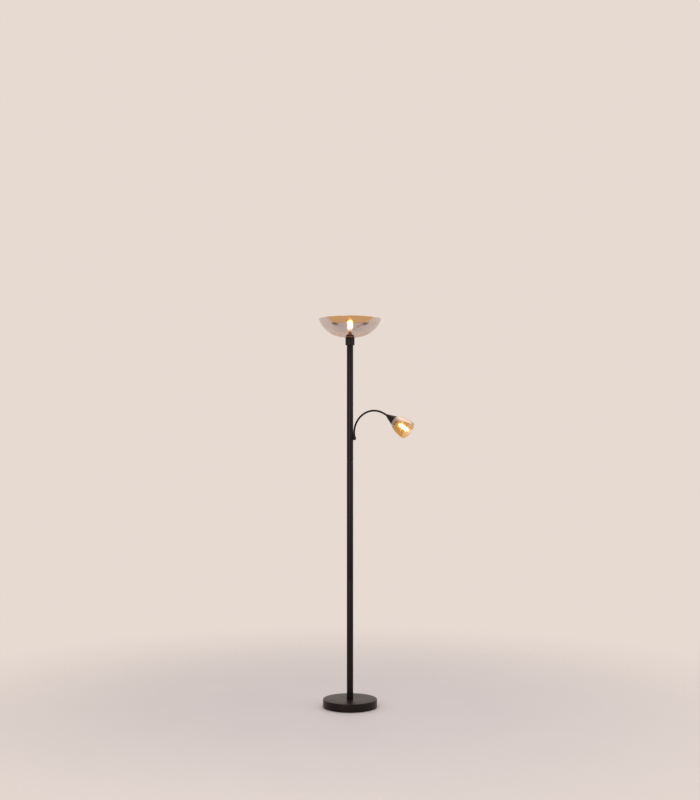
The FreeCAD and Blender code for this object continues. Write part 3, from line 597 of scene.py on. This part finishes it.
def arc(start, end, radius, count):
    """Points after the start, up to the end, on an arc that bulges right when positive."""
    start, end = Vector(start), Vector(end)
    half = (end - start) / 2
    across = Vector((half.y, -half.x)).normalized()
    rise = math.sqrt(radius * radius - half.length_squared)
    centre = start + half - across * math.copysign(rise, radius)
    first, last = start - centre, end - centre
    sweep = first.angle_signed(last)
    points = []
    for n in range(1, count + 1):
        turn = -sweep * n / count
        points.append((centre.x + first.x * math.cos(turn) - first.y * math.sin(turn),
                       centre.y + first.x * math.sin(turn) + first.y * math.cos(turn)))
    return points


bowl_low, bowl_depth, bowl_rim, bowl_wall = 1.7137, 0.0847, 0.1465, 0.003
bowl_seat, glass_hole, bowl_lip = 0.023, 0.0145, 0.0016
# The tint is the see-through colour of the painted glow; the two silvers are the painted shaded
# and lit tones.
bowl_glass = make_coated_glass(
    "coated bowl glass", mouth=(0, 0, bowl_low + bowl_depth), axis=(0, 0, 1),
    edge=(0.3, 0.42), depth=(0.027, 0.034), bare=(0.06, 0.07), lift=0, gloss=0.14,
    tint=(0.84, 0.65, 0.43, 1), shaded_and_lit_silvers=((0.7, 0.66, 0.64, 1), (0.9, 0.84, 0.8, 1)))
floor_round, side_round = 0.1415, 0.126
lean, brim = math.radians(23.1), math.radians(70.6)
knee = (bowl_seat + floor_round * math.sin(lean), floor_round * (1 - math.cos(lean)))
inner_knee = (knee[0] - bowl_wall * math.sin(lean), knee[1] + bowl_wall * math.cos(lean))
inner_lip = (bowl_rim - bowl_wall * math.sin(brim), bowl_depth + bowl_wall * math.cos(brim))
bowl_line = [(glass_hole, 0), (bowl_seat, 0)]
bowl_line += arc(bowl_line[-1], knee, floor_round, 18)
bowl_line += arc(bowl_line[-1], (bowl_rim, bowl_depth), side_round, 34)
bowl_line += arc(bowl_line[-1], inner_lip, bowl_lip, 8)
bowl_line += arc(bowl_line[-1], inner_knee, bowl_wall - side_round, 34)
bowl_line += arc(bowl_line[-1], (bowl_seat, bowl_wall), bowl_wall - floor_round, 18)
bowl_line += [(glass_hole, bowl_wall)]
bowl = lathe("bowl", bowl_line, Matrix.Translation((0, 0, bowl_low)), 192)
dress(bowl, bowl_glass, "stand", "smoked_glass", "bowl_glass")


# ---------------------------------------------------------------- candle bulbs
# Two lit candle bulbs: a screw cap, and a blown envelope that glows white-hot in the middle
# and is yellower, then clear, toward its tip and its edges.


def make_lit_glass(name, start, axis, foot, tip, edge):
    """Bulb glass, hottest between its foot and its tip, and where it faces the eye."""
    paint = Paint(name)
    up = paint.along(start, axis)
    heat = paint.rise(up, *foot) * (1 - paint.rise(up, *tip))
    heat = heat * (1 - paint.rise(paint.slant(), *edge))
    glow = paint.make("ShaderNodeValToRGB", {"stops": [
        (0.0, (0.01, 0.004, 0.001)), (0.3, (0.16, 0.085, 0.022)), (0.65, (0.5, 0.36, 0.17)),
        (0.95, (1.0, 0.95, 0.86))]}, {"Fac": heat})
    return paint.done(paint.principled(
        Base_Color=(0.9, 0.86, 0.8, 1), Roughness=0.12, Emission_Color=glow,
        Emission_Strength=11.0, Alpha=0.16 + 0.84 * heat))


def make_filament():
    paint = Paint("filament")
    tone = paint.blend(paint.noise(300), (1, 0.8, 0.45, 1), (1, 0.9, 0.62, 1))
    return paint.done(paint.principled(
        Base_Color=(1, 0.9, 0.7, 1), Emission_Color=tone, Emission_Strength=4.0))


filament = make_filament()
bulb_neck, bulb_widest, bulb_slim = 0.0076, (0.0175, 0.02887), (0.0098, 0.06)
bulb_tip, bulb_length, cap_gap = (0.0016, 0.0744), 0.075, 0.0003
low_round, high_round, tip_round = 0.046, 0.062, 0.038


def make_bulb(prefix, body, place, foot, tip, edge):
    """The envelope swells from the cap's collar and draws out to a blunt tip."""
    line = [(0, 0), (bulb_neck, 0)]
    line += arc(line[-1], bulb_widest, low_round, 16)
    line += arc(line[-1], bulb_slim, high_round, 16)
    line += arc(line[-1], bulb_tip, tip_round, 10)
    line += [(0, bulb_length)]
    envelope = lathe(f"{prefix}_envelope", line, place, 64)
    axis = place.to_3x3() @ Vector((0, 0, 1))
    lit_glass = make_lit_glass(
        f"{prefix} lit bulb glass", place.translation, axis, foot, tip, edge)
    dress(envelope, lit_glass, body, "bulb_glass", f"{prefix}_bulb_glass")
    finish_nodes(filament, f"{prefix}_bulb_filaments")
    finish_nodes(zinc, f"{prefix}_bulb_cap")
    finish_nodes(brass, f"{prefix}_bulb_contact")


make_bulb("top", "stand", Matrix.Translation((0, 0, top_stand + top_neck + cap_gap)),
          foot=(0.0, 0.016), tip=(0.044, 0.06), edge=(0.1, 0.56))


# ---------------------------------------------------------------- arm mount
# A round seat against the pole, a swivel block that turns on a hollow stud, and a domed nut
# that keeps it on. A short collar on the block takes the flexible tube.

stud_high = 1.241
outward = Matrix.Translation((0, 0, stud_high)) @ Matrix.Rotation(math.pi / 2, 4, "Y")
mount_radius, stud_hole, seat_start, seat_end = 0.0095, 0.0041, 0.008, 0.0161
seat_inside, pole_clear = 0.0095, 0.0151
arm_seat = lathe("arm_seat", eased([
    (stud_hole, seat_start), (mount_radius, seat_start), (mount_radius, seat_end, 0.0008),
    (stud_hole, seat_end)]), outward, 64)
for vert in arm_seat.data.vertices:
    if vert.co.x < seat_inside:
        vert.co.x = math.sqrt(pole_clear ** 2 - vert.co.y ** 2)
dress(arm_seat, black_coat, "stand", "black_coat", "arm_saddle")
nut_start, nut_skirt, nut_end, nut_radius, nut_edge = 0.0275, 0.0285, 0.0302, 0.007, 0.0002
stud_end, dome_flat, dome_round = 0.0286, 0.0012, 0.0108
dome = [(stud_hole, nut_start), (nut_radius - nut_edge, nut_start),
        (nut_radius, nut_start + nut_edge), (nut_radius, nut_skirt)]
dome += arc(dome[-1], (dome_flat, nut_end), dome_round, 10)
dome += [(0, nut_end), (0, stud_end), (stud_hole, stud_end)]
cap_nut = lathe("domed_nut", dome, outward, 64)
dress(cap_nut, black_coat, "stand", "black_coat", "arm_cap_nut")
finish_nodes(zinc, "arm_stud", "arm_stud_nut")

arm_x, block_start, block_end, block_hole, block_round = 0.0218, 0.0164, 0.0272, 0.00408, 0.0012
block = lathe("swivel_block", eased([
    (block_hole, block_start), (mount_radius, block_start, block_round),
    (mount_radius, block_end, block_round), (block_hole, block_end)]), outward, 64)
post_low, post_high, post_radius, post_bore = 1.248, 1.253, 0.0046, 0.0022
post = lathe("post_blank", eased([
    (post_bore, post_low), (post_radius, post_low), (post_radius, post_high),
    (post_bore, post_high)]), Matrix.Translation((arm_x, 0, 0)), 48)
with bpy.context.temp_override(active_object=block, selected_editable_objects=[block, post]):
    bpy.ops.object.join()
dress(block, black_coat, "arm_foot", "black_coat", "pivot_body")

collar_rise, collar_length = 0.0098, 0.0082
collar_low = stud_high + collar_rise
collar_high = collar_low + collar_length
collar_bore, collar_radius, groove_radius = 0.0047, 0.0053, 0.005
collar = lathe("arm_collar", eased([
    (collar_bore, collar_low), (collar_radius, collar_low, 0.0006),
    (collar_radius, collar_high - 0.0026), (groove_radius, collar_high - 0.0023),
    (groove_radius, collar_high - 0.0021), (collar_radius, collar_high - 0.0018),
    (collar_radius, collar_high, 0.0006), (collar_bore, collar_high)], 0.0002),
    Matrix.Translation((arm_x, 0, 0)), 64)
dress(collar, black_coat, "arm_foot", "black_coat", "arm_ferrule")


# ---------------------------------------------------------------- flexible tube
# Close-wound steel wire over a core, coated black: it rises from the collar, arches over in two
# bends and stays where it is put.

tube_low, tube_bend = post_high + 0.0003, 1.2658
near_bend, far_bend = (0.1017, math.radians(23)), (0.228, math.radians(8.85))


def walk_tube():
    """The bends in turn: where each starts, its heading, radius and angle."""
    x, z, heading, steps = arm_x, tube_bend, 0.0, []
    for radius, angle in [near_bend] * 5 + [far_bend]:
        steps.append((x, z, heading, radius, angle))
        x += radius * (math.cos(heading) - math.cos(heading + angle))
        z += radius * (math.sin(heading + angle) - math.sin(heading))
        heading += angle
    return steps, (x, z, heading)


def bend_points(step, first, last, count=14):
    """Points along one bend, from a share of its angle to another."""
    x, z, heading, radius, angle = step
    points = []
    for n in range(count + 1):
        turn = heading + angle * (first + (last - first) * n / count)
        points.append((x + radius * (math.cos(heading) - math.cos(turn)), 0,
                       z + radius * (math.sin(turn) - math.sin(heading))))
    return points


def winding_tree(core_sides=28, wire_sides=7):
    """Close wire turns laid along a path, over a core."""
    grow = Growth("wire winding", Turn_count="Int", Outer_radius="Float", Wire_radius="Float")

    def circle(radius, sides):
        return grow.make("GeometryNodeCurvePrimitiveCircle", {}, {
            "Resolution": sides, "Radius": radius})

    def sweep(path, profile, caps):
        return grow.make("GeometryNodeCurveToMesh", {}, {
            "Fill Caps": caps, "Curve": path, "Profile Curve": profile})

    middle = grow.make("ShaderNodeMath", {"operation": "SUBTRACT"}, {
        0: grow.given["Outer radius"], 1: grow.given["Wire radius"]})
    turn = sweep(circle(middle, core_sides), circle(grow.given["Wire radius"], wire_sides), False)
    spots = grow.make("GeometryNodeCurveToPoints", {"mode": "COUNT"}, {
        "Curve": grow.given["Geometry"], "Count": grow.given["Turn count"]})
    lay = grow.make("GeometryNodeInstanceOnPoints", {}, {
        "Points": spots, "Instance": turn,
        "Rotation": grow.turned(spots.node.outputs["Tangent"], "Z")})
    return grow.done(lay, sweep(grow.given["Geometry"], circle(middle, core_sides), True))


winding = winding_tree()
wire_pitch, wire_radius, winding_radius = 0.0014, 0.00075, 0.0046
first_turn, later_turn = 0.0115, 0.019
bends, (tube_x, tube_z, tube_heading) = walk_tube()
links_in_turn = ["arm_foot"] + [f"neck_{n}" for n in range(1, 6)] + ["head"]

for n, step in enumerate(bends, 1):
    if n == 1:
        path = [(arm_x, 0, tube_low + (tube_bend - tube_low) * k / 10) for k in range(10)]
    else:
        path = bend_points(bends[n - 2], 0.5, 1)[:-1]
    path += bend_points(step, 0, 1 if n == 6 else 0.5)
    run = sum((Vector(b) - Vector(a)).length for a, b in zip(path, path[1:]))
    curve = bpy.data.curves.new("tube_path", "CURVE")
    curve.dimensions = "3D"
    spline = curve.splines.new("POLY")
    spline.points.add(len(path) - 1)
    for point, place in zip(spline.points, path):
        point.co = (*place, 1)
    line = bpy.data.objects.new("tube_path", curve)
    bpy.context.scene.collection.objects.link(line)
    mesh = grown(line, winding, **{"Turn count": round(run / wire_pitch), "Finish": black_coat,
                                   "Outer radius": winding_radius, "Wire radius": wire_radius})
    stretch = as_piece(f"flexible_tube_{n}", mesh, 60)
    joint = Vector((step[0], 0, step[1]))
    ahead = Vector((math.sin(step[2]), 0, math.cos(step[2])))
    ahead *= first_turn if n == 1 else later_turn
    links_in_turn[n - 1]
    joint - ahead
    joint + ahead
    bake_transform(stretch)
    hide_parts(f"neck_piece_{n}", *(["neck_piece_0"] if n == 1 else []))


# ---------------------------------------------------------------- reading head
# A turned black cone on the end of the tube, closed by a flat ring that seats the glass. The
# holder stands in the cone.

tube_in_cone = 0.008
head = Matrix.Translation((tube_x, 0, tube_z)) @ Matrix.Rotation(tube_heading, 4, "Y")
head = head @ Matrix.Translation((0, 0, -tube_in_cone))
cone_tip, cone_rim, cone_length, cone_bore, cone_throat = 0.006, 0.0223, 0.0425, 0.0207, 0.0105
cone_solid, cone_socket, socket_bore = 0.016, 0.009, 0.005
cone = lathe("cone", eased([
    (socket_bore, 0), (cone_tip, 0, 0.0006), (cone_rim, cone_length, 0.0005),
    (cone_bore, cone_length), (cone_throat, cone_solid), (nipple_hole, cone_solid),
    (nipple_hole, cone_socket), (socket_bore, cone_socket)]), head)
dress(cone, black_coat, "head", "black_coat", "head_cone")
plate_low, plate_high = 0.0428, 0.0444
plate = lathe("cone_ring", eased([
    (holder_hole, plate_low), (cone_rim, plate_low, 0.0005), (cone_rim, plate_high, 0.0005),
    (holder_hole, plate_high)]), head)
dress(plate, black_coat, "head", "black_coat", "head_carrier")
finish_nodes(zinc, "head_nipple", "head_spacer")

shade_low, shade_wall = 0.0447, 0.0022
head_stand, head_ring = 0.026, shade_low + shade_wall + 0.0003
head_skirt = head_ring + 0.0064 - head_stand
head_neck = head_skirt + 0.0033
make_holder("head", "head", head @ Matrix.Translation((0, 0, head_stand)), head_skirt, head_neck)
make_clamp_ring("head", "head", head @ Matrix.Translation((0, 0, head_ring)))
make_bulb("head", "head", head @ Matrix.Translation((0, 0, head_stand + head_neck + cap_gap)),
          foot=(0.012, 0.026), tip=(0.068, 0.078), edge=(0.02, 0.26))


# ---------------------------------------------------------------- reading glass
# A small bell of the same smoked glass round the second bulb. Its warm glow from the bulb is
# painted into the glass by view angle and depth.

shoulder, waist, mouth = (0.0235, 0.0022), (0.0386, 0.036), (0.043, 0.0832)
near_round, far_round = 0.062, 0.15
head_axis = head.to_3x3() @ Vector((0, 0, 1))
# The tint is the see-through colour of the painted glow; the two silvers are the painted shaded
# and lit tones.
amber_glass = make_coated_glass(
    "coated reading glass", mouth=head @ Vector((0, 0, shade_low + mouth[1])), axis=head_axis,
    edge=(0.54, 0.76), depth=(0.064, 0.08), bare=(0.076, 0.086), lift=0.4, gloss=0.3,
    tint=(0.93, 0.79, 0.56, 1), shaded_and_lit_silvers=((0.56, 0.46, 0.4, 1), (0.62, 0.51, 0.42, 1)))
shade_line = [(glass_hole, 0), (0.02, 0)]
shade_line += arc(shade_line[-1], shoulder, 0.0045, 6)
shade_line += arc(shade_line[-1], waist, near_round, 22)
shade_line += arc(shade_line[-1], mouth, far_round, 22)
shade_line += arc(shade_line[-1], (mouth[0] - shade_wall, mouth[1]), 0.0012, 8)
shade_line += arc(shade_line[-1], (waist[0] - shade_wall, waist[1] + 0.0004),
                  shade_wall - far_round, 22)
shade_line += arc(shade_line[-1], (shoulder[0] - shade_wall, shoulder[1] + shade_wall),
                  shade_wall - near_round, 22)
shade_line += [(0.0195, shade_wall), (glass_hole, shade_wall)]
shade = lathe("reading_shade", shade_line, head @ Matrix.Translation((0, 0, shade_low)), 160)
dress(shade, amber_glass, "head", "amber_glass", "head_glass")
